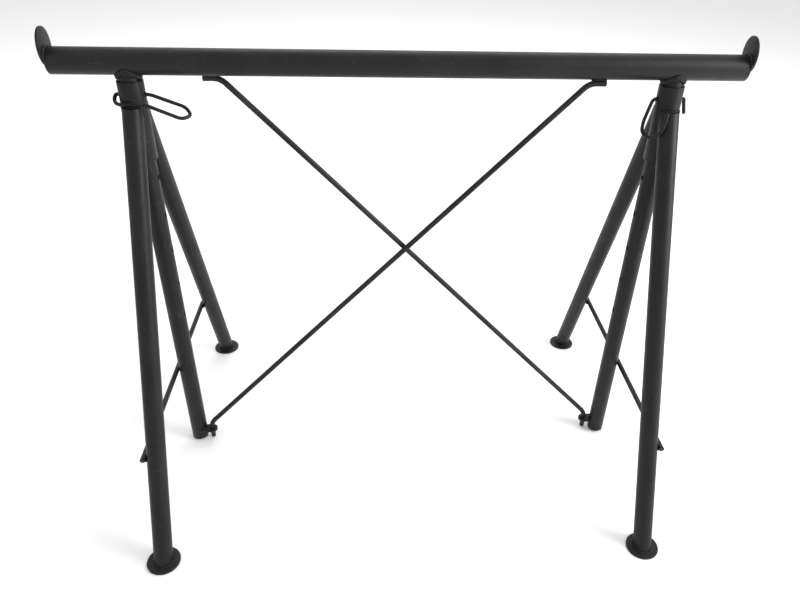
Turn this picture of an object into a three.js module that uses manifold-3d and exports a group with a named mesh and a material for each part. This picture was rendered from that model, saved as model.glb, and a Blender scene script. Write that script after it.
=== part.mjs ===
// A folding, height-adjustable trestle of round steel tube. A rigid upper frame (beam, end
// stops, crossed rods and two posts) stands in the sleeves of two leg sets. A bent wire pin
// through each sleeve and post sets the height, and the leg sets swing round the posts to fold.
// Millimetres. +X runs along the beam, -Y is the front, +Z is up, and the origin is on the
// floor under the middle of the beam.
import * as THREE from 'three';
import { mergeVertices } from 'three/addons/utils/BufferGeometryUtils.js';
import Module from 'manifold-3d';

const wasm = await Module();
wasm.setup();

const gap = 0.3; // left between pieces that touch
const tubeSides = 32;
const discSides = 48;
const rodSides = 12;
const overcut = 20; // how far a cutter reaches past what it cuts

const beam = { outer: 42.4, wall: 2.6, length: 1138, axisZ: 812 };
const endStop = { width: 48, height: 60, thickness: 4 };
const post = { outer: 33.7, wall: 2.6, spacing: 900, bottomZ: 4 };
const sleeve = { outer: 42.4, wall: 2.9, length: 132, belowBeam: 8 };
const leg = { outer: 33.7, wall: 2.6, footY: 332, leanDegrees: 23.4, belowRim: 40 };
const foot = { diameter: 60, thickness: 4 };
const pinHole = { diameter: 9, belowRim: 23, pitch: 72, count: 7 };
const pinWire = { diameter: 6, bend: 5.5 };
const spreader = { diameter: 10, axisZ: 188, halfLength: 262 };
const brace = { diameter: 10, bend: 12, tabOuterX: 334, tabInnerX: 306 };
const hook = { x: 420.5, topZ: 42, endZ: 4 }; // each rod's lower end
const lug = { thickness: 5, width: 22, reach: 40.5, axisZ: 25, hole: 11 };

const beamBottomZ = beam.axisZ - beam.outer / 2;
const rimZ = beamBottomZ - sleeve.belowBeam;
const pinZ = rimZ - pinHole.belowRim;
const postX = post.spacing / 2;
const braceY = brace.diameter / 2 + gap; // each crossed rod stands this far off the middle

const paint = {
  frame: { color: 0x2b2b2d, roughness: 0.5, metalness: 0.3 },
  legs: { color: 0x2d2c2e, roughness: 0.52, metalness: 0.3 },
  rods: { color: 0x29292b, roughness: 0.5, metalness: 0.3 },
  pins: { color: 0x303033, roughness: 0.48, metalness: 0.4 },
};

const trestle = new THREE.Group();

function addPiece(parent, name, geometry, finish) {
  const mesh = new THREE.Mesh(geometry, new THREE.MeshStandardMaterial(finish));
  mesh.name = name;
  parent.add(mesh);
  return mesh;
}

// Booleans

function toSolid(geometry) {
  const bare = geometry.clone();
  bare.deleteAttribute('normal');
  bare.deleteAttribute('uv');
  const merged = mergeVertices(bare, 1e-4);
  const vertProperties = new Float32Array(merged.attributes.position.array);
  const triVerts = new Uint32Array(merged.index.array);
  return new wasm.Manifold(new wasm.Mesh({ numProp: 3, vertProperties, triVerts }));
}

function toGeometry(solid) {
  const mesh = solid.getMesh();
  const geometry = new THREE.BufferGeometry();
  geometry.setAttribute('position', new THREE.BufferAttribute(mesh.vertProperties, 3));
  geometry.setIndex(new THREE.BufferAttribute(mesh.triVerts, 1));
  return geometry;
}

function cut(geometry, cutters) {
  const start = toSolid(geometry);
  return toGeometry(cutters.reduce((solid, cutter) => solid.subtract(toSolid(cutter)), start));
}

// Round stock. The flats of every polygon stand at the true radius, and one faces +Y.

function polygon(radius, sides) {
  const corner = radius / Math.cos(Math.PI / sides);
  return Array.from({ length: sides }, (_, i) => {
    const angle = ((i + 0.5) * 2 * Math.PI) / sides;
    return new THREE.Vector2(corner * Math.cos(angle), corner * Math.sin(angle));
  });
}

function bar(diameter, length, sides = tubeSides) {
  const shape = new THREE.Shape(polygon(diameter / 2, sides));
  return new THREE.ExtrudeGeometry(shape, { depth: length, bevelEnabled: false });
}

function tube(stock, length) {
  const shape = new THREE.Shape(polygon(stock.outer / 2, tubeSides));
  shape.holes.push(new THREE.Path(polygon(stock.outer / 2 - stock.wall, tubeSides)));
  return new THREE.ExtrudeGeometry(shape, { depth: length, bevelEnabled: false });
}

// a bar centred at (x, y, z) and lying along X, for drilling
function drill(diameter, length, x, y, z) {
  const cutter = bar(diameter, length, rodSides);
  cutter.translate(0, 0, -length / 2);
  cutter.rotateY(Math.PI / 2);
  return cutter.translate(x, y, z);
}

function slab(width, depth, height, x, y, z) {
  return new THREE.BoxGeometry(width, depth, height).translate(x, y, z);
}

// Bent rod: straight runs joined by round bends, with stations only where the rod turns.

class RodPath extends THREE.Curve {
  constructor(stations) {
    super();
    this.stations = stations;
  }

  getPoint(t, target = new THREE.Vector3()) {
    const last = this.stations.length - 1;
    const i = Math.min(Math.floor(t * last + 1e-9), last - 1);
    return target.lerpVectors(this.stations[i], this.stations[i + 1], t * last - i);
  }

  getTangent(t, target = new THREE.Vector3()) {
    const last = this.stations.length - 1;
    const i = Math.round(t * last);
    const before = this.stations[Math.max(i - 1, 0)];
    const after = this.stations[Math.min(i + 1, last)];
    return target.subVectors(after, before).normalize();
  }

  getTangentAt(t, target) {
    return this.getTangent(t, target);
  }

  getSpacedPoints(divisions) {
    return this.getPoints(divisions);
  }
}

function bendStations(points, bend, perBend = 6) {
  const stations = [points[0]];
  for (let i = 1; i < points.length - 1; i += 1) {
    const back = new THREE.Vector3().subVectors(points[i - 1], points[i]);
    const ahead = new THREE.Vector3().subVectors(points[i + 1], points[i]);
    const reach = Math.min(bend, back.length() * 0.45, ahead.length() * 0.45);
    const from = points[i].clone().addScaledVector(back.normalize(), reach);
    const to = points[i].clone().addScaledVector(ahead.normalize(), reach);
    const arc = new THREE.QuadraticBezierCurve3(from, points[i], to);
    stations.push(...arc.getPoints(perBend));
  }
  stations.push(points[points.length - 1]);
  return stations;
}

function bentRod(points, diameter, bend, sides = rodSides) {
  const path = new RodPath(bendStations(points, bend));
  const shape = new THREE.Shape(polygon(diameter / 2, sides));
  const steps = path.stations.length - 1;
  return new THREE.ExtrudeGeometry(shape, { extrudePath: path, steps, bevelEnabled: false });
}

// Upper frame

function makeBeam() {
  const geometry = tube(beam, beam.length);
  geometry.translate(0, 0, -beam.length / 2);
  geometry.rotateY(Math.PI / 2);
  geometry.translate(0, 0, beam.axisZ);
  addPiece(trestle, 'beam_tube', geometry, paint.frame);
}

// an oval plate on each end of the beam, centred level with the beam's top
function makeEndStop(side, name) {
  const geometry = bar(endStop.height, endStop.thickness, discSides);
  geometry.scale(1, endStop.width / endStop.height, 1);
  geometry.translate(0, 0, beam.length / 2 + gap);
  geometry.rotateY((side * Math.PI) / 2);
  geometry.translate(0, 0, beam.axisZ + beam.outer / 2);
  addPiece(trestle, `end_stop_${name}`, geometry, paint.frame);
}

function makePost(side, name) {
  const top = beamBottomZ - gap;
  const geometry = tube(post, top - post.bottomZ).translate(side * postX, 0, post.bottomZ);
  const drills = [];
  for (let i = 0; i < pinHole.count; i += 1) {
    const z = pinZ - i * pinHole.pitch;
    drills.push(drill(pinHole.diameter, post.outer + overcut, side * postX, 0, z));
  }
  addPiece(trestle, `post_${name}`, cut(geometry, drills), paint.frame);
}

// A rod runs from the beam's underside on one side down to the other post's lug and hooks
// through it. The front rod starts on the right, the rear one on the left.
function makeBraceRod(start, name) {
  const topZ = beamBottomZ - gap - brace.diameter / 2;
  const y = -start * braceY;
  const points = [
    new THREE.Vector3(start * brace.tabOuterX, y, topZ),
    new THREE.Vector3(start * brace.tabInnerX, y, topZ),
    new THREE.Vector3(-start * hook.x, y, hook.topZ),
    new THREE.Vector3(-start * hook.x, y, hook.endZ),
  ];
  addPiece(trestle, `brace_rod_${name}`, bentRod(points, brace.diameter, brace.bend), paint.rods);
}

// a flat lug on the inner side of a post, drilled for the rod's hooked end
function makeLug(side, name) {
  const y = side * braceY; // in line with the rod that ends here
  const outline = new THREE.Shape();
  const half = lug.width / 2;
  outline.moveTo(0, -half);
  outline.lineTo(lug.reach - half, -half);
  outline.absarc(lug.reach - half, 0, half, -Math.PI / 2, Math.PI / 2, false);
  outline.lineTo(0, half);
  const plate = new THREE.ExtrudeGeometry(outline, {
    depth: lug.thickness,
    bevelEnabled: false,
    curveSegments: 12,
  });
  if (side > 0) plate.rotateZ(Math.PI);
  plate.translate(side * postX, y, lug.axisZ - lug.thickness / 2);
  const round = bar(post.outer + 2 * gap, lug.thickness + overcut);
  round.translate(side * postX, 0, lug.axisZ - (lug.thickness + overcut) / 2);
  const hole = bar(lug.hole, lug.thickness + overcut, rodSides * 2);
  hole.translate(side * hook.x, y, lug.axisZ - (lug.thickness + overcut) / 2);
  addPiece(trestle, `brace_lug_${name}`, cut(plate, [round, hole]), paint.frame);
}

// Leg sets

function makeSleeve(side, name) {
  const bottom = rimZ - sleeve.length;
  const geometry = tube(sleeve, sleeve.length).translate(side * postX, 0, bottom);
  const hole = drill(pinHole.diameter, sleeve.outer + overcut, side * postX, 0, pinZ);
  addPiece(trestle, `sleeve_${name}`, cut(geometry, [hole]), paint.legs);
}

// A leaning tube, cut level at the top and on the foot disc, and hollowed to fit the sleeve.
function makeLeg(side, name, front, frontName) {
  const lean = THREE.MathUtils.degToRad(leg.leanDegrees);
  const topZ = rimZ - leg.belowRim;
  const footTop = foot.thickness + gap;
  const length = (topZ - footTop) / Math.cos(lean) + 4 * overcut;
  const geometry = tube(leg, length).translate(0, 0, -2 * overcut);
  geometry.rotateX(front * lean);
  geometry.translate(side * postX, front * leg.footY, footTop);
  const wide = 8 * leg.outer;
  const cutters = [
    slab(wide, wide, wide, side * postX, 0, topZ + wide / 2),
    slab(wide, wide, wide, side * postX, front * leg.footY, footTop - wide / 2),
    bar(sleeve.outer + 2 * gap, sleeve.length + 2 * overcut)
      .translate(side * postX, 0, rimZ - sleeve.length - overcut),
    slab(wide, wide, wide, side * postX, -front * (wide / 2), topZ - wide / 2 + overcut),
  ];
  addPiece(trestle, `${frontName}_leg_${name}`, cut(geometry, cutters), paint.legs);
}

function makeFoot(side, name, front, frontName) {
  const geometry = bar(foot.diameter, foot.thickness, discSides);
  geometry.translate(side * postX, front * leg.footY, 0);
  addPiece(trestle, `${frontName}_foot_${name}`, geometry, paint.legs);
}

function makeSpreader(side, name) {
  const x = side * (postX + leg.outer / 2 + spreader.diameter / 2 + gap);
  const geometry = bar(spreader.diameter, 2 * spreader.halfLength, rodSides);
  geometry.translate(0, 0, -spreader.halfLength);
  geometry.rotateX(Math.PI / 2);
  geometry.translate(x, 0, spreader.axisZ);
  addPiece(trestle, `spreader_rod_${name}`, geometry, paint.rods);
}

// Pins. Points are measured from the shank's middle: toward the other leg set, back, and up.

const pinBends = {
  left: [
    [3, -24.6, -9],
    [-12, -24, -11],
    [-24, -16, -11],
    [-28.5, -7, -7],
    [-27, 0, 0],
    [27, 0, 0],
    [83, 0, -21],
    [93, -12, -31],
    [80, -25, -33],
    [22, -25, -9],
  ],
  right: [
    [-32, 0, -25],
    [-27, 0, -5],
    [-26.5, 0, 0],
    [27.5, 0, 0],
    [38, -3, -40],
    [41, -12, -52.7],
    [37, -21, -59],
    [27.3, -30, -59.2],
    [18.8, -42, -45.9],
    [13.7, -38, -30],
    [11, -33, -14.5],
  ],
};

function makePin(side, name) {
  const points = pinBends[name].map(
    ([inward, back, up]) => new THREE.Vector3(side * (postX - inward), back, pinZ + up),
  );
  const wire = bentRod(points, pinWire.diameter, pinWire.bend, 10);
  addPiece(trestle, `lock_pin_${name}`, wire, paint.pins);
}

makeBeam();
makeBraceRod(1, 'front');
makeBraceRod(-1, 'rear');
for (const [side, name] of [[-1, 'left'], [1, 'right']]) {
  makeEndStop(side, name);
  makePost(side, name);
  makeLug(side, name);
  makeSleeve(side, name);
  makeSpreader(side, name);
  makePin(side, name);
  for (const [front, frontName] of [[-1, 'front'], [1, 'rear']]) {
    makeLeg(side, name, front, frontName);
    makeFoot(side, name, front, frontName);
  }
}

export default trestle;
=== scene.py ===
# A folding sawhorse of round steel tube in charcoal enamel, with its welds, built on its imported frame.
import math
import random

import bmesh
import bpy
from mathutils import Matrix, Vector


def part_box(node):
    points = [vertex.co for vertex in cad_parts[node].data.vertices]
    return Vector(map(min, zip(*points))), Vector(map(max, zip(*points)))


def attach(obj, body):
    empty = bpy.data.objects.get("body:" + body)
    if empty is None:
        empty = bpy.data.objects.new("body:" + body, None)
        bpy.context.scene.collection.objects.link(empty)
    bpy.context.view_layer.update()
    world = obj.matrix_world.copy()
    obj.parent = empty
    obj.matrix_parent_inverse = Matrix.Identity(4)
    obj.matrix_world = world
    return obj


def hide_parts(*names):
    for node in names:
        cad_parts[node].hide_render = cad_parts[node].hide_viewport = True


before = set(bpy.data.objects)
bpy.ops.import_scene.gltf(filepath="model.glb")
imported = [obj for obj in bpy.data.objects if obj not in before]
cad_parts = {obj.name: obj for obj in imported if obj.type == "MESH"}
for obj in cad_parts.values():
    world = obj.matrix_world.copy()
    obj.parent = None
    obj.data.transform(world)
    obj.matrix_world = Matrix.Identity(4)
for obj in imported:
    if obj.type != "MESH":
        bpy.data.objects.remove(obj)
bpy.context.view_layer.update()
scene = bpy.context.scene
sides = (("left", -1), ("right", 1))
ends = (("front", -1), ("rear", 1))
print("frame loaded:", len(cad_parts), "nodes")


# Mesh helpers

def keepPiece(bm, name, body, finish, nodes=(), crease=38):
    bmesh.ops.remove_doubles(bm, verts=bm.verts, dist=1e-6)
    bmesh.ops.recalc_face_normals(bm, faces=bm.faces)
    for face in bm.faces:
        face.smooth = True
    for edge in bm.edges:
        if edge.is_manifold and edge.calc_face_angle() > math.radians(crease):
            edge.smooth = False
    mesh = bpy.data.meshes.new(name)
    bm.to_mesh(mesh)
    bm.free()
    mesh.materials.append(finish)
    piece = bpy.data.objects.new(name, mesh)
    scene.collection.objects.link(piece)
    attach(piece, body)
    if nodes:
        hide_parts(*nodes)
    return piece


def tempObject(bm, name="tempShape"):
    mesh = bpy.data.meshes.new(name)
    bm.to_mesh(mesh)
    bm.free()
    made = bpy.data.objects.new(name, mesh)
    scene.collection.objects.link(made)
    return made


def evaluatedMesh(source):
    graph = bpy.context.evaluated_depsgraph_get()
    return bpy.data.meshes.new_from_object(source.evaluated_get(graph))


def carve(bm, cutters):
    base = tempObject(bm)
    tools = [tempObject(cutter) for cutter in cutters]
    for tool in tools:
        cut = base.modifiers.new("cut", "BOOLEAN")
        cut.operation = "DIFFERENCE"
        cut.solver = "EXACT"
        cut.object = tool
    bpy.context.view_layer.update()
    result = evaluatedMesh(base)
    carved = bmesh.new()
    carved.from_mesh(result)
    for used in [base] + tools:
        bpy.data.objects.remove(used)
    return carved


def turned(profile, steps=96):
    # a closed outline of (radius, height) pairs, spun round Z
    bm = bmesh.new()
    verts = [bm.verts.new((radius, 0, height)) for radius, height in profile]
    edges = [bm.edges.new((verts[i - 1], verts[i])) for i in range(len(verts))]
    bmesh.ops.spin(bm, geom=verts + edges, cent=(0, 0, 0), axis=(0, 0, 1), dvec=(0, 0, 0),
                   angle=2 * math.pi, steps=steps, use_merge=True)
    bmesh.ops.remove_doubles(bm, verts=bm.verts, dist=1e-6)
    bmesh.ops.recalc_face_normals(bm, faces=bm.faces)
    return bm


def softenRims(bm, width, segments=3, limit=60):
    bm.normal_update()
    rims = [e for e in bm.edges if e.is_manifold and e.calc_face_angle() > math.radians(limit)]
    bmesh.ops.bevel(bm, geom=rims, offset=width, offset_type="OFFSET", segments=segments,
                    profile=0.5, affect="EDGES", clamp_overlap=True, material=-1)


def pipe(outer, wall, length, edge, steps=96):
    inner = outer - wall
    bm = turned([(outer, 0), (outer, length), (inner, length), (inner, 0)], steps)
    softenRims(bm, edge)
    return bm


def disc(radius, thickness, edge, steps=96):
    bm = bmesh.new()
    bmesh.ops.create_circle(bm, cap_ends=True, segments=steps, radius=radius)
    grown = bmesh.ops.extrude_face_region(bm, geom=bm.faces[:])["geom"]
    lifted = [v for v in grown if isinstance(v, bmesh.types.BMVert)]
    bmesh.ops.translate(bm, verts=lifted, vec=(0, 0, thickness))
    bmesh.ops.recalc_face_normals(bm, faces=bm.faces)
    softenRims(bm, edge)
    return bm


def plug(radius, length, steps=96):
    # a solid cylinder from the origin up Z, for cutting
    bm = bmesh.new()
    bmesh.ops.create_cone(bm, cap_ends=True, segments=steps, radius1=radius, radius2=radius, depth=length)
    bmesh.ops.translate(bm, verts=bm.verts, vec=(0, 0, length / 2))
    return bm


def place(bm, matrix):
    bmesh.ops.transform(bm, matrix=matrix, verts=bm.verts)
    return bm


def sweep(bm, points, radii, closed=False, around=16):
    # a round section drawn along the points, added to bm
    path = bpy.data.curves.new("tempPath", "CURVE")
    path.dimensions = "3D"
    path.bevel_depth = 1.0
    path.bevel_resolution = around // 2 - 2
    path.use_fill_caps = not closed
    spline = path.splines.new("POLY")
    spline.points.add(len(points) - 1)
    for knot, point, radius in zip(spline.points, points, radii):
        knot.co = (*point, 1)
        knot.radius = radius
    spline.use_cyclic_u = closed
    line = bpy.data.objects.new("tempPath", path)
    scene.collection.objects.link(line)
    bpy.context.view_layer.update()
    bm.from_mesh(evaluatedMesh(line))
    bpy.data.objects.remove(line)
    return bm


def roundedPath(corners, reach, steps=10):
    path = [Vector(corners[0])]
    for before, corner, after in zip(corners, corners[1:], corners[2:]):
        corner = Vector(corner)
        back, ahead = Vector(before) - corner, Vector(after) - corner
        cut = min(reach, back.length * 0.45, ahead.length * 0.45)
        start, stop = corner + back.normalized() * cut, corner + ahead.normalized() * cut
        for i in range(steps + 1):
            t = i / steps
            path.append(start * (1 - t) ** 2 + corner * 2 * t * (1 - t) + stop * t ** 2)
    path.append(Vector(corners[-1]))
    return path


def bentRod(corners, radius, reach, around=20):
    path = roundedPath(corners, reach)
    bm = bmesh.new()
    sweep(bm, path, [radius] * len(path), around=around)
    bmesh.ops.remove_doubles(bm, verts=bm.verts, dist=1e-6)
    bmesh.ops.recalc_face_normals(bm, faces=bm.faces)
    caps = [f for f in bm.faces if len(f.verts) > 4]
    rims = list({e for f in caps for e in f.edges})
    bmesh.ops.bevel(bm, geom=rims, offset=radius * 0.45, offset_type="OFFSET", segments=4,
                    profile=0.5, affect="EDGES", clamp_overlap=True, material=-1)
    return bm


def resample(points, spacing, closed):
    loop = [Vector(p) for p in points]
    if closed:
        loop.append(loop[0])
    result = [loop[0]]
    left = spacing
    for a, b in zip(loop, loop[1:]):
        length = (b - a).length
        at = left
        while at <= length:
            result.append(a.lerp(b, at / length))
            at += spacing
        left = at - length
    if closed and (result[-1] - result[0]).length < spacing * 0.5:
        result.pop()
    return result


def bead(bm, points, radius, closed=False, seed=1):
    # a weld bead with the ripples of a hand-held torch, tapered where it isn't a ring
    dice = random.Random(seed)
    path = resample(points, weldBead["spacing"], closed)
    count = len(path)
    radii = []
    for i in range(count):
        wave = math.cos(2 * math.pi * i * weldBead["spacing"] / weldBead["ripple"])
        swell = 1 + weldBead["rippleDepth"] * wave + dice.uniform(-1, 1) * weldBead["unevenness"]
        if not closed:
            swell *= min(1, 0.45 + 0.3 * min(i, count - 1 - i))
        radii.append(radius * swell)
    sweep(bm, path, radii, closed, around=12)


weldBead = {"spacing": 0.0007, "ripple": 0.0031, "rippleDepth": 0.13, "unevenness": 0.05}


# Finishes

def charcoalEnamel(name, look):
    finish = bpy.data.materials.new(name)
    finish.use_nodes = True
    nodes, links = finish.node_tree.nodes, finish.node_tree.links
    shader = nodes["Principled BSDF"]
    where = nodes.new("ShaderNodeTexCoord")

    def noise(scale, detail, stretch=(1, 1, 1), distortion=0.0):
        mapping = nodes.new("ShaderNodeMapping")
        mapping.inputs["Scale"].default_value = stretch
        links.new(where.outputs["Object"], mapping.inputs["Vector"])
        texture = nodes.new("ShaderNodeTexNoise")
        texture.inputs["Scale"].default_value = scale
        texture.inputs["Detail"].default_value = detail
        texture.inputs["Roughness"].default_value = 0.6
        texture.inputs["Distortion"].default_value = distortion
        links.new(mapping.outputs["Vector"], texture.inputs["Vector"])
        return texture.outputs["Fac"]

    def span(source, low, high, toLow=0.0, toHigh=1.0):
        ranged = nodes.new("ShaderNodeMapRange")
        for socket, value in (("From Min", low), ("From Max", high), ("To Min", toLow), ("To Max", toHigh)):
            ranged.inputs[socket].default_value = value
        links.new(source, ranged.inputs["Value"])
        return ranged.outputs["Result"]

    def blend(mask, under, over):
        mix = nodes.new("ShaderNodeMix")
        mix.data_type = "RGBA"
        links.new(mask, mix.inputs["Factor"])
        for socket, value in ((mix.inputs[6], under), (mix.inputs[7], over)):
            if isinstance(value, tuple):
                socket.default_value = (*value, 1)
            else:
                links.new(value, socket)
        return mix.outputs[2]

    def both(operation, first, second):
        maths = nodes.new("ShaderNodeMath")
        maths.operation = operation
        for socket, value in zip(maths.inputs, (first, second)):
            if isinstance(value, float):
                socket.default_value = value
            else:
                links.new(value, socket)
        return maths.outputs[0]

    clouds = span(noise(11, 4), 0.35, 0.68)
    colour = blend(clouds, look["dark"], look["light"])
    scuffPatch = span(noise(16, 5, distortion=0.4), 0.56, 0.72)
    scuffGrain = span(noise(260, 3, look["grain"]), 0.55, 0.68)
    scuffs = both("MULTIPLY", scuffPatch, scuffGrain)
    colour = blend(both("MULTIPLY", scuffs, look["scuffing"]), colour, look["scuff"])
    specks = span(noise(480, 1), 0.735, 0.765)
    colour = blend(both("MULTIPLY", specks, look["specks"]), colour, look["speck"])
    links.new(colour, shader.inputs["Base Color"])
    gloss = both("ADD", span(noise(34, 5), 0.3, 0.72, look["roughLow"], look["roughHigh"]),
                 both("MULTIPLY", scuffs, 0.14))
    links.new(gloss, shader.inputs["Roughness"])
    peel = noise(520, 2)
    runs = noise(26, 3, look["grain"])
    height = both("ADD", both("MULTIPLY", peel, 0.22), both("MULTIPLY", runs, 1.0))
    height = both("ADD", height, both("MULTIPLY", specks, 0.5))
    bump = nodes.new("ShaderNodeBump")
    bump.inputs["Strength"].default_value = look["relief"]
    bump.inputs["Distance"].default_value = 0.0006
    links.new(height, bump.inputs["Height"])
    links.new(bump.outputs["Normal"], shader.inputs["Normal"])
    shader.inputs["Specular IOR Level"].default_value = look["specular"]
    shader.inputs["Coat Weight"].default_value = look["coat"]
    shader.inputs["Coat Roughness"].default_value = 0.34
    return finish


enamelLook = {
    "dark": (0.007, 0.007, 0.0068), "light": (0.0125, 0.0123, 0.0119),
    "scuff": (0.07, 0.068, 0.065), "scuffing": 0.45,
    "speck": (0.17, 0.165, 0.155), "specks": 0.5,
    "roughLow": 0.4, "roughHigh": 0.54, "relief": 0.3,
    "specular": 0.22, "coat": 0.02, "grain": (1, 1, 1),
}
beamPaint = charcoalEnamel("beamPaint", {**enamelLook, "light": (0.015, 0.0154, 0.0143),
                                         "dark": (0.009, 0.0096, 0.0085), "grain": (0.25, 1, 1)})
postPaint = charcoalEnamel("postPaint", {**enamelLook, "grain": (1, 1, 0.25), "scuffing": 0.7})
legPaint = charcoalEnamel("legPaint", {**enamelLook, "dark": (0.0074, 0.0069, 0.0076),
                                       "grain": (1, 1, 0.3)})
# the rods' lighter base colour is painted highlight: it is raised above the other parts' enamel to stand in
# for the bright highlight stripe along the thin rods
rodPaint = charcoalEnamel("rodPaint", {**enamelLook, "light": (0.024, 0.0236, 0.0228),
                                       "roughLow": 0.36, "roughHigh": 0.48, "scuffing": 0.6})
pinPaint = charcoalEnamel("pinPaint", {**enamelLook, "roughLow": 0.34, "roughHigh": 0.46, "scuffing": 0.9})
weldPaint = charcoalEnamel("weldPaint", {**enamelLook, "roughLow": 0.38, "roughHigh": 0.54, "relief": 0.5})
print("finishes made")


# Where the frame puts everything

beamLow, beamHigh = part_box("beam_tube")
beamRadius = (beamHigh.z - beamLow.z) / 2
beamAxis = (beamHigh.z + beamLow.z) / 2
postLow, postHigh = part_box("post_right")
postRadius = (postHigh.x - postLow.x) / 2
postX = (postHigh.x + postLow.x) / 2
sleeveLow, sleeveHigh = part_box("sleeve_right")
sleeveRadius = (sleeveHigh.x - sleeveLow.x) / 2
footLow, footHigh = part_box("rear_foot_right")
footY = (footHigh.y + footLow.y) / 2
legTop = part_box("rear_leg_right")[1].z


# Beam and end stops

beamTube = {"wall": 0.0026, "edge": 0.0005}

bm = pipe(beamRadius, beamTube["wall"], beamHigh.x - beamLow.x, beamTube["edge"], 128)
place(bm, Matrix.Translation((beamLow.x, 0, beamAxis)) @ Matrix.Rotation(math.pi / 2, 4, "Y"))
keepPiece(bm, "beamTube", "frame", beamPaint, ["beam_tube"])

endStop = {"edge": 0.0009}

for name, side in sides:
    low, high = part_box(f"end_stop_{name}")
    bm = disc((high.z - low.z) / 2, high.x - low.x, endStop["edge"])
    oval = (high.y - low.y) / (high.z - low.z)  # how wide the plate is for its height
    bmesh.ops.scale(bm, vec=(1, oval, 1), verts=bm.verts)
    place(bm, Matrix.Translation((low.x, 0, (high.z + low.z) / 2)) @ Matrix.Rotation(math.pi / 2, 4, "Y"))
    keepPiece(bm, f"endStop_{name}", "frame", beamPaint, [f"end_stop_{name}"])
print("beam made")


# Posts and sleeves

postTube = {"wall": 0.0026, "edge": 0.0004, "hole": 0.0045, "rim": 0.0011, "pitch": 0.072, "holes": 7,
            "drillSpare": 0.01}
sleeveTube = {"wall": 0.0029, "edge": 0.0006, "pinBelowRim": 0.023}
pinZ = sleeveHigh.z - sleeveTube["pinBelowRim"]


def drillThrough(x, z, radius, surface, rim):
    # a cutter along X that flares a little where it leaves the tube
    reach = surface + postTube["drillSpare"]
    flare = surface - rim
    bm = bmesh.new()
    profile = [(0, -reach), (radius + rim, -reach), (radius + rim, -surface), (radius, -flare),
               (radius, flare), (radius + rim, surface), (radius + rim, reach), (0, reach)]
    verts = [bm.verts.new((r, 0, h)) for r, h in profile]
    edges = [bm.edges.new((a, b)) for a, b in zip(verts, verts[1:])]
    bmesh.ops.spin(bm, geom=verts + edges, cent=(0, 0, 0), axis=(0, 0, 1), dvec=(0, 0, 0),
                   angle=2 * math.pi, steps=32, use_merge=True)
    bmesh.ops.remove_doubles(bm, verts=bm.verts, dist=1e-6)
    bmesh.ops.recalc_face_normals(bm, faces=bm.faces)
    return place(bm, Matrix.Translation((x, 0, z)) @ Matrix.Rotation(math.pi / 2, 4, "Y"))


for name, side in sides:
    bm = pipe(postRadius, postTube["wall"], postHigh.z - postLow.z, postTube["edge"])
    place(bm, Matrix.Translation((side * postX, 0, postLow.z)))
    drills = []
    for i in range(postTube["holes"]):
        z = pinZ - i * postTube["pitch"]
        drills.append(drillThrough(side * postX, z, postTube["hole"], postRadius, postTube["rim"]))
    drilled = carve(bm, drills)
    keepPiece(drilled, f"post_{name}", f"{name}_post", postPaint, [f"post_{name}"])

    bm = pipe(sleeveRadius, sleeveTube["wall"], sleeveHigh.z - sleeveLow.z, sleeveTube["edge"])
    place(bm, Matrix.Translation((side * postX, 0, sleeveLow.z)))
    drill = drillThrough(side * postX, pinZ, postTube["hole"], sleeveRadius, postTube["rim"])
    drilled = carve(bm, [drill])
    keepPiece(drilled, f"sleeve_{name}", f"{name}_leg_set", legPaint, [f"sleeve_{name}"])
print("posts and sleeves made")


# Legs, feet and spreaders

legTube = {"radius": 0.01685, "wall": 0.0026, "edge": 0.0002, "lean": math.radians(23.4), "spare": 0.04,
           "footGap": 0.0001, "slack": 0.00005, "seatAbove": 0.1, "seatBelow": 0.2}
footDisc = {"edge": 0.0012}
legFoot = footHigh.z


def leaningLeg(side, front):
    length = (legTop - legFoot) / math.cos(legTube["lean"]) + 2 * legTube["spare"]
    bm = pipe(legTube["radius"], legTube["wall"], length, legTube["edge"])
    place(bm, Matrix.Translation((0, 0, -legTube["spare"])))
    place(bm, Matrix.Rotation(front * legTube["lean"], 4, "X"))
    place(bm, Matrix.Translation((side * postX, front * footY, legFoot)))
    bottom = legFoot + legTube["footGap"]
    for height, up in ((legTop, 1), (bottom, -1)):
        bmesh.ops.bisect_plane(bm, geom=bm.verts[:] + bm.edges[:] + bm.faces[:], dist=1e-7,
                               plane_co=(0, 0, height), plane_no=(0, 0, up), clear_outer=True)
    for height in (legTop, bottom):
        rims = [e for e in bm.edges if e.is_boundary and all(abs(v.co.z - height) < 1e-5 for v in e.verts)]
        bmesh.ops.bridge_loops(bm, edges=rims)
    bmesh.ops.recalc_face_normals(bm, faces=bm.faces)
    seat = plug(sleeveRadius + legTube["slack"], legTube["seatAbove"] + legTube["seatBelow"])
    place(seat, Matrix.Translation((side * postX, 0, legTop - legTube["seatBelow"])))
    return carve(bm, [seat])


for name, side in sides:
    body = f"{name}_leg_set"
    for frontName, front in ends:
        leg = leaningLeg(side, front)
        keepPiece(leg, f"{frontName}Leg_{name}", body, legPaint, [f"{frontName}_leg_{name}"])
        low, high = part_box(f"{frontName}_foot_{name}")
        bm = disc((high.x - low.x) / 2, high.z - low.z, footDisc["edge"])
        place(bm, Matrix.Translation(((high.x + low.x) / 2, (high.y + low.y) / 2, low.z)))
        keepPiece(bm, f"{frontName}Foot_{name}", body, legPaint, [f"{frontName}_foot_{name}"])
    low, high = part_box(f"spreader_rod_{name}")
    radius = (high.z - low.z) / 2
    middle = (low + high) / 2
    bm = bentRod([(middle.x, low.y, middle.z), (middle.x, high.y, middle.z)], radius, 0)
    keepPiece(bm, f"spreaderRod_{name}", body, rodPaint, [f"spreader_rod_{name}"])
print("leg sets made")


# Crossed rods and their lugs

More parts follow.
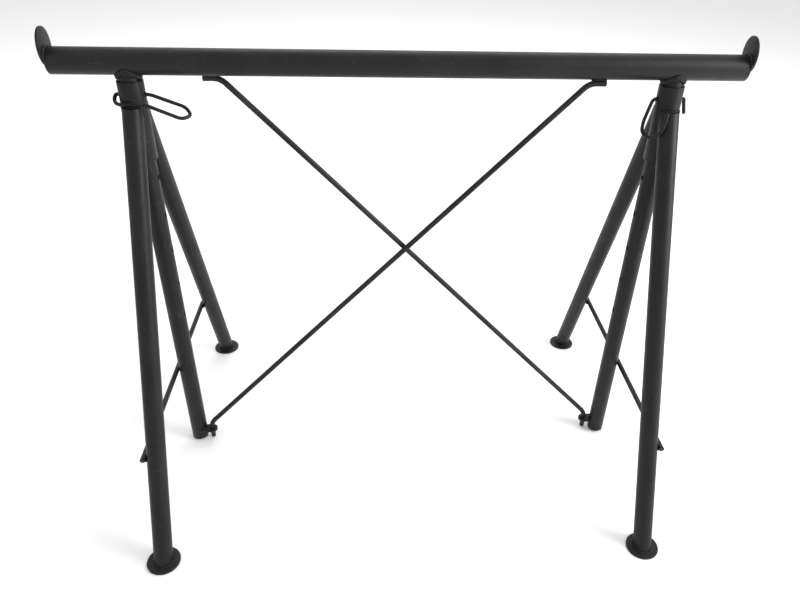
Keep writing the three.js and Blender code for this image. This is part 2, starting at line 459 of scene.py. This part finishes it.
braceRod = {"radius": 0.005, "tabInner": 0.306, "hookTop": 0.042, "bend": 0.014}
braceLug = {"halfWidth": 0.011, "hole": 0.0055, "edge": 0.0005, "slack": 0.0002,
            "cutHeight": 0.02, "cutBelow": 0.005}

for rodName, start in (("front", 1), ("rear", -1)):
    low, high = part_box(f"brace_rod_{rodName}")
    outer = high.x if start > 0 else low.x
    hookX = (low.x if start > 0 else high.x) + start * braceRod["radius"]
    y = (low.y + high.y) / 2
    topZ = high.z - braceRod["radius"]
    corners = [(outer, y, topZ), (start * braceRod["tabInner"], y, topZ),
               (hookX, y, braceRod["hookTop"]), (hookX, y, low.z)]
    bm = bentRod(corners, braceRod["radius"], braceRod["bend"])
    keepPiece(bm, f"braceRod_{rodName}", "frame", rodPaint, [f"brace_rod_{rodName}"])

for name, side in sides:
    low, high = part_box(f"brace_lug_{name}")
    y = (low.y + high.y) / 2
    tip = low.x if side > 0 else high.x
    centre = tip + side * braceLug["halfWidth"]
    bm = bmesh.new()
    bmesh.ops.create_circle(bm, cap_ends=True, segments=64, radius=braceLug["halfWidth"])
    for vert in bm.verts:
        if side * vert.co.x > 1e-4:  # the half toward the post is drawn out to the post's middle
            if abs(vert.co.y) > 0.98 * braceLug["halfWidth"]:
                vert.co.y = math.copysign(braceLug["halfWidth"], vert.co.y)
            vert.co.x = side * postX - centre
    grown = bmesh.ops.extrude_face_region(bm, geom=bm.faces[:])["geom"]
    lifted = [v for v in grown if isinstance(v, bmesh.types.BMVert)]
    bmesh.ops.translate(bm, verts=lifted, vec=(0, 0, high.z - low.z))
    bmesh.ops.recalc_face_normals(bm, faces=bm.faces)
    softenRims(bm, braceLug["edge"])
    place(bm, Matrix.Translation((centre, y, low.z)))
    hookX = side * (abs(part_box("brace_rod_front")[0].x) - braceRod["radius"])
    cutFrom = low.z - braceLug["cutBelow"]
    hole = place(plug(braceLug["hole"], braceLug["cutHeight"], 40), Matrix.Translation((hookX, y, cutFrom)))
    seat = plug(postRadius + braceLug["slack"], braceLug["cutHeight"])
    place(seat, Matrix.Translation((side * postX, 0, cutFrom)))
    drilled = carve(bm, [hole, seat])
    keepPiece(drilled, f"braceLug_{name}", "frame", postPaint, [f"brace_lug_{name}"])
print("crossed rods made")


# Locking pins: each corner is so far inward, back and up from the middle of its shank

lockPin = {
    "radius": 0.003,
    "bend": 0.008,
    "left": [(3, -24.6, -9), (-12, -24, -11), (-24, -16, -11), (-28.5, -7, -7), (-27, 0, 0), (27, 0, 0),
             (83, 0, -21), (93, -12, -31), (80, -25, -33), (22, -25, -9)],
    "right": [(-32, 0, -25), (-27, 0, -5), (-26.5, 0, 0), (27.5, 0, 0), (38, -3, -40), (41, -12, -52.7),
              (37, -21, -59), (27.3, -30, -59.2), (18.8, -42, -45.9), (13.7, -38, -30), (11, -33, -14.5)],
}

for name, side in sides:
    corners = [(side * (postX - inward / 1000), back / 1000, pinZ + up / 1000)
               for inward, back, up in lockPin[name]]
    bm = bentRod(corners, lockPin["radius"], lockPin["bend"])
    keepPiece(bm, f"lockPin_{name}", f"{name}_pin", pinPaint, [f"lock_pin_{name}"])
print("pins made")


# Welds

frameWeld = {
    "postBead": 0.0029, "postPasses": ((0.001, 0.0018), (0.0036, 0.0012)),  # each so far down and out
    "copeHeight": 0.012, "copeEdge": 0.0001, "copeGap": 0.0002, "copeSink": 0.0003, "copeCut": 0.2,
    "stopBead": 0.0019, "stopArc": math.radians(80), "stopOut": 0.0007,
    "tabBead": 0.0017, "tabApart": 0.0046, "tabBelow": 0.0008, "tabShort": 0.001, "tabPast": 0.003,
    "lugBead": 0.0013, "lugReach": 0.01, "lugOut": 0.0008, "lugBeyond": 0.0004,
}
legWeld = {
    "sleeveBead": 0.0019, "sleeveOut": 0.0006, "sleeveAbove": 0.0002, "sleeveWidth": 0.985,
    "footBead": 0.0022, "footOut": 0.0007, "footAbove": 0.0004,
    "spreaderBead": 0.0018, "spreaderOut": 0.0012, "spreaderApart": 0.0044, "spreaderSpan": (-0.009, 0.008),
}


def ring(centre, radiusX, radiusY, height, count=180):
    # points round a loop, with the height given by a function of the offset from its centre
    points = []
    for i in range(count):
        angle = 2 * math.pi * i / count
        x, y = radiusX * math.cos(angle), radiusY * math.sin(angle)
        points.append((centre[0] + x, centre[1] + y, height(x, y)))
    return points


def beamUnderside(x, y):
    return beamAxis - math.sqrt(beamRadius ** 2 - min(abs(y), beamRadius * 0.98) ** 2)


bm = bmesh.new()
for name, side in sides:
    # the post's shaped top, which closes onto the beam, and the two passes of bead round it
    cope = pipe(postRadius, postTube["wall"], frameWeld["copeHeight"], frameWeld["copeEdge"])
    place(cope, Matrix.Translation((side * postX, 0, postHigh.z + frameWeld["copeGap"])))
    beamCut = plug(beamRadius - frameWeld["copeSink"], frameWeld["copeCut"], 128)
    place(beamCut, Matrix.Rotation(math.pi / 2, 4, "Y"))
    place(beamCut, Matrix.Translation((side * postX - frameWeld["copeCut"] / 2, 0, beamAxis)))
    shaped = carve(cope, [beamCut])
    kept = bpy.data.meshes.new("tempCope")
    shaped.to_mesh(kept)
    shaped.free()
    bm.from_mesh(kept)
    for drop, reach in frameWeld["postPasses"]:
        beadLine = ring((side * postX, 0), postRadius + reach, postRadius + reach,
                        lambda x, y: beamUnderside(x, y) - drop)
        bead(bm, beadLine, frameWeld["postBead"], closed=True, seed=3 + side + round(drop * 1e4))
    # the bead between the beam and its end stop, where the plate backs it
    low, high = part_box(f"end_stop_{name}")
    inner = (low.x if side > 0 else high.x) - side * frameWeld["stopOut"]
    radius = beamRadius + frameWeld["stopOut"]
    stopLine = []
    for i in range(90):
        angle = frameWeld["stopArc"] * (2 * i / 89 - 1)
        stopLine.append((inner, radius * math.sin(angle), beamAxis + radius * math.cos(angle)))
    bead(bm, stopLine, frameWeld["stopBead"], seed=7 + side)
    # two beads along each rod's tab, under the beam
    rod = "brace_rod_front" if side > 0 else "brace_rod_rear"
    low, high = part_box(rod)
    first = side * (abs(high.x if side > 0 else low.x) - frameWeld["tabShort"])
    last = side * (braceRod["tabInner"] + frameWeld["tabPast"])
    y = (low.y + high.y) / 2
    for offset in (-frameWeld["tabApart"], frameWeld["tabApart"]):
        z = beamUnderside(0, y + offset) - frameWeld["tabBelow"]
        bead(bm, [(first, y + offset, z), (last, y + offset, z)], frameWeld["tabBead"], seed=11 + side)
    # a bead above and below each lug, round the post
    low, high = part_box(f"brace_lug_{name}")
    y = (low.y + high.y) / 2
    radius = postRadius + frameWeld["lugOut"]
    for z in (low.z - frameWeld["lugBeyond"], high.z + frameWeld["lugBeyond"]):
        first, last = (math.asin((y + d) / radius) for d in (-frameWeld["lugReach"], frameWeld["lugReach"]))
        line = [(side * (postX - radius * math.cos(a)), radius * math.sin(a), z)
                for a in (first + (last - first) * i / 19 for i in range(20))]
        bead(bm, line, frameWeld["lugBead"], seed=17 + side)
keepPiece(bm, "frameWelds", "frame", weldPaint, crease=70)


def legSleeveLine(side, front):
    # along the leg's level top on the sleeve, then round the underside where the leg leaves it
    radius = sleeveRadius + legWeld["sleeveOut"]
    wide = math.asin(legTube["radius"] * legWeld["sleeveWidth"] / radius)
    slope = math.tan(legTube["lean"])
    points = []
    for i in range(30):
        angle = -wide + 2 * wide * i / 29
        x, y = radius * math.sin(angle), radius * math.cos(angle)
        points.append((side * postX + x, front * y, legTop + legWeld["sleeveAbove"]))
    for i in range(1, 60):
        angle = wide - 2 * wide * i / 60
        x, y = radius * math.sin(angle), radius * math.cos(angle)
        half = math.sqrt(legTube["radius"] ** 2 - min(abs(x), legTube["radius"]) ** 2)
        depth = y + half / math.cos(legTube["lean"])
        z = min(legFoot + (footY - depth) / slope, legTop)
        points.append((side * postX + x, front * y, z))
    return points


for name, side in sides:
    bm = bmesh.new()
    for frontName, front in ends:
        bead(bm, legSleeveLine(side, front), legWeld["sleeveBead"], closed=True, seed=23 + side + 2 * front)
        around = legTube["radius"] + legWeld["footOut"]
        line = ring((side * postX, front * footY), around, around / math.cos(legTube["lean"]),
                    lambda x, y: legFoot + legWeld["footAbove"])
        bead(bm, line, legWeld["footBead"], closed=True, seed=31 + side + 2 * front)
        low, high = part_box(f"spreader_rod_{name}")
        x = side * (postX + legTube["radius"] + legWeld["spreaderOut"])
        middle = (low.z + high.z) / 2
        crossing = footY - (middle - legFoot) * math.tan(legTube["lean"])
        for offset in (-legWeld["spreaderApart"], legWeld["spreaderApart"]):
            line = [(x, front * (crossing + along), middle + offset) for along in legWeld["spreaderSpan"]]
            bead(bm, line, legWeld["spreaderBead"], seed=41 + side + 2 * front)
    keepPiece(bm, f"legWelds_{name}", f"{name}_leg_set", weldPaint, crease=70)
print("welds made")


# Floor, light and camera

def paleFloor():
    bm = bmesh.new()
    bmesh.ops.create_grid(bm, x_segments=1, y_segments=1, size=9)
    mesh = bpy.data.meshes.new("studioFloor")
    bm.to_mesh(mesh)
    bm.free()
    floor = bpy.data.objects.new("studioFloor", mesh)
    scene.collection.objects.link(floor)
    paper = bpy.data.materials.new("studioPaper")
    paper.use_nodes = True
    shader = paper.node_tree.nodes["Principled BSDF"]
    shader.inputs["Base Color"].default_value = (0.93, 0.93, 0.93, 1)
    shader.inputs["Roughness"].default_value = 0.9
    shader.inputs["Specular IOR Level"].default_value = 0.1
    mesh.materials.append(paper)


studio = {
    "sky": 0.82,
    "softboxes": [  # where it hangs, where it points, width, depth, power
        ((2.8, -0.9, 1.7), (0.1, 0, 0.4), 1.6, 2.0, 92),
        ((0.1, 2.6, 3.2), (0, 1.6, 0), 3.6, 2.2, 60),
        ((-2.8, -1.4, 1.6), (-0.1, 0, 0.4), 1.4, 1.8, 3),
    ],
}
view = {
    "lens": 30.69, "place": (-0.0573, -1.1513, 1.0887),
    "pitch": math.radians(33.39), "yaw": math.radians(4.02), "roll": math.radians(1.64),
    "shiftX": -0.0185, "shiftY": 0.0141,
}

paleFloor()
world = bpy.data.worlds.new("studioWorld")
world.use_nodes = True
world.node_tree.nodes["Background"].inputs["Color"].default_value = (1, 1, 1, 1)
world.node_tree.nodes["Background"].inputs["Strength"].default_value = studio["sky"]
scene.world = world
for number, (where, target, width, depth, power) in enumerate(studio["softboxes"]):
    lamp = bpy.data.lights.new(f"softbox{number}", "AREA")
    lamp.shape = "RECTANGLE"
    lamp.size, lamp.size_y, lamp.energy = width, depth, power
    holder = bpy.data.objects.new(f"softbox{number}", lamp)
    aim = Vector(target) - Vector(where)
    holder.matrix_world = Matrix.Translation(where) @ aim.to_track_quat("-Z", "Y").to_matrix().to_4x4()
    scene.collection.objects.link(holder)

camera = bpy.data.cameras.new("productView")
camera.lens = view["lens"]
camera.sensor_width = 36
camera.shift_x, camera.shift_y = view["shiftX"], view["shiftY"]
holder = bpy.data.objects.new("productView", camera)
turn = Matrix.Rotation(-view["yaw"], 4, "Z") @ Matrix.Rotation(math.pi / 2 - view["pitch"], 4, "X")
holder.matrix_world = Matrix.Translation(view["place"]) @ turn @ Matrix.Rotation(view["roll"], 4, "Z")
scene.collection.objects.link(holder)
scene.camera = holder
scene.view_settings.view_transform = "Standard"
print("studio made")
